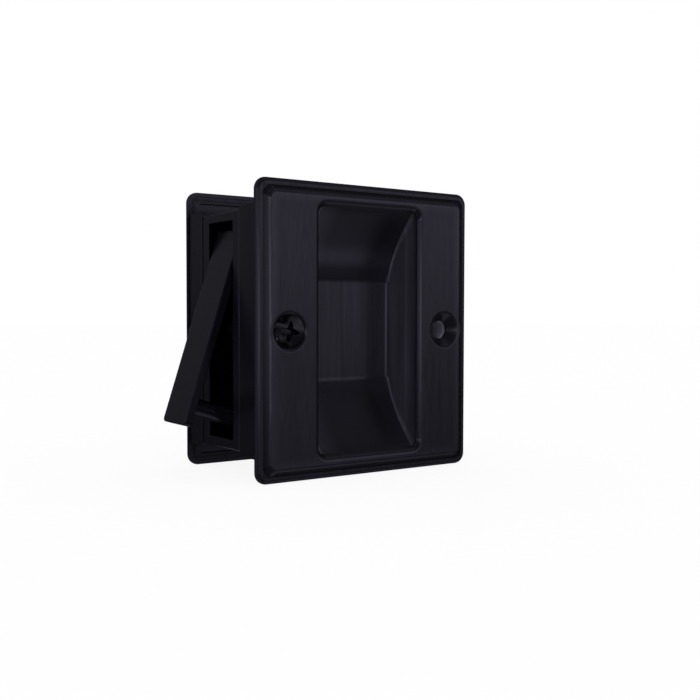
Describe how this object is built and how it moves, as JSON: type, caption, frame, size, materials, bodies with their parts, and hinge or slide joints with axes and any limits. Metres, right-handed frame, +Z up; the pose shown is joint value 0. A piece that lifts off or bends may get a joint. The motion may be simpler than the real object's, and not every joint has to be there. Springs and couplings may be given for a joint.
{
  "type": "sliding door lock",
  "caption": "Square sliding door lock with a deep finger cup on both faces of the door and a flip-out pull in the door's edge, in satin black.",
  "frame": {"origin": "middle of the door panel's thickness, at the centre of both plates", "axes": "+X from the door's edge into the door, +Y from the front plate to the rear plate, +Z up"},
  "size_m": [0.0739, 0.0398, 0.0698],
  "materials": {
    "plate_black": "satin black over fine vertical brushing",
    "trim_black": "smooth satin black",
    "housing_black": "satin black, cast",
    "screw_black": "semi-gloss black",
    "post_steel": "dark turned steel",
    "spring_steel": "oiled spring steel"
  },
  "bodies": {
    "case": {"front_plate": "plate_black", "rear_plate": "plate_black", "plate_screw": "screw_black", "edge_screw_post": "post_steel", "inner_screw_post": "post_steel", "front_edge_bracket": "trim_black", "rear_edge_bracket": "trim_black", "edge_housing": "housing_black", "pivot_pin": "post_steel", "return_spring": "spring_steel", "catch_clip": "spring_steel", "clip_rivets": "post_steel"},
    "pull": {"edge_pull": "trim_black", "catch_post": "trim_black"}
  },
  "joints": [
    {"name": "pull_swing", "type": "hinge", "parent": "case", "child": "pull", "pos_m": [-0.0263, 0, 0.0163], "axis": [0, -1, 0], "range_deg": [0, 18], "stiffness_Nm_per_rad": 0.02, "springref_deg": -28.65, "deforming": ["return_spring"]}
  ]
}
